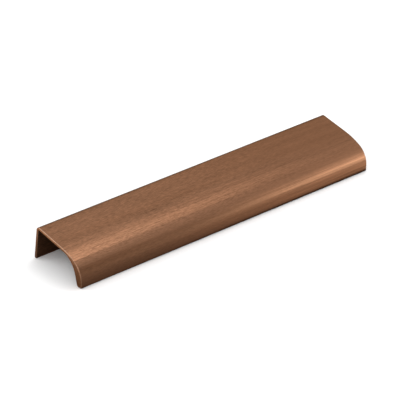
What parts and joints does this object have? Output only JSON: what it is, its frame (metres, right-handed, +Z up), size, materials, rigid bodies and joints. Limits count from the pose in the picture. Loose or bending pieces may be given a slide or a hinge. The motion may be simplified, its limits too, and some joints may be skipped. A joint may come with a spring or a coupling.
{
  "type": "lip pull handle",
  "caption": "Slim edge-mounted pull: a flat strip with a drilled back leg and a thick lip that curls down at the front to hook fingers behind.",
  "frame": {"origin": "centre of the bounding box in X and Y, on the floor under the two feet", "axes": "+X along the pull's length, -Y towards the curled lip at the front, +Z up as the pull stands on its leg and its lip"},
  "size_m": [0.2, 0.0416, 0.0204],
  "materials": {
    "brushed_copper": "brushed along the length, copper tone"
  },
  "bodies": {
    "root": {"lip_pull": "brushed_copper"}
  },
  "joints": []
}
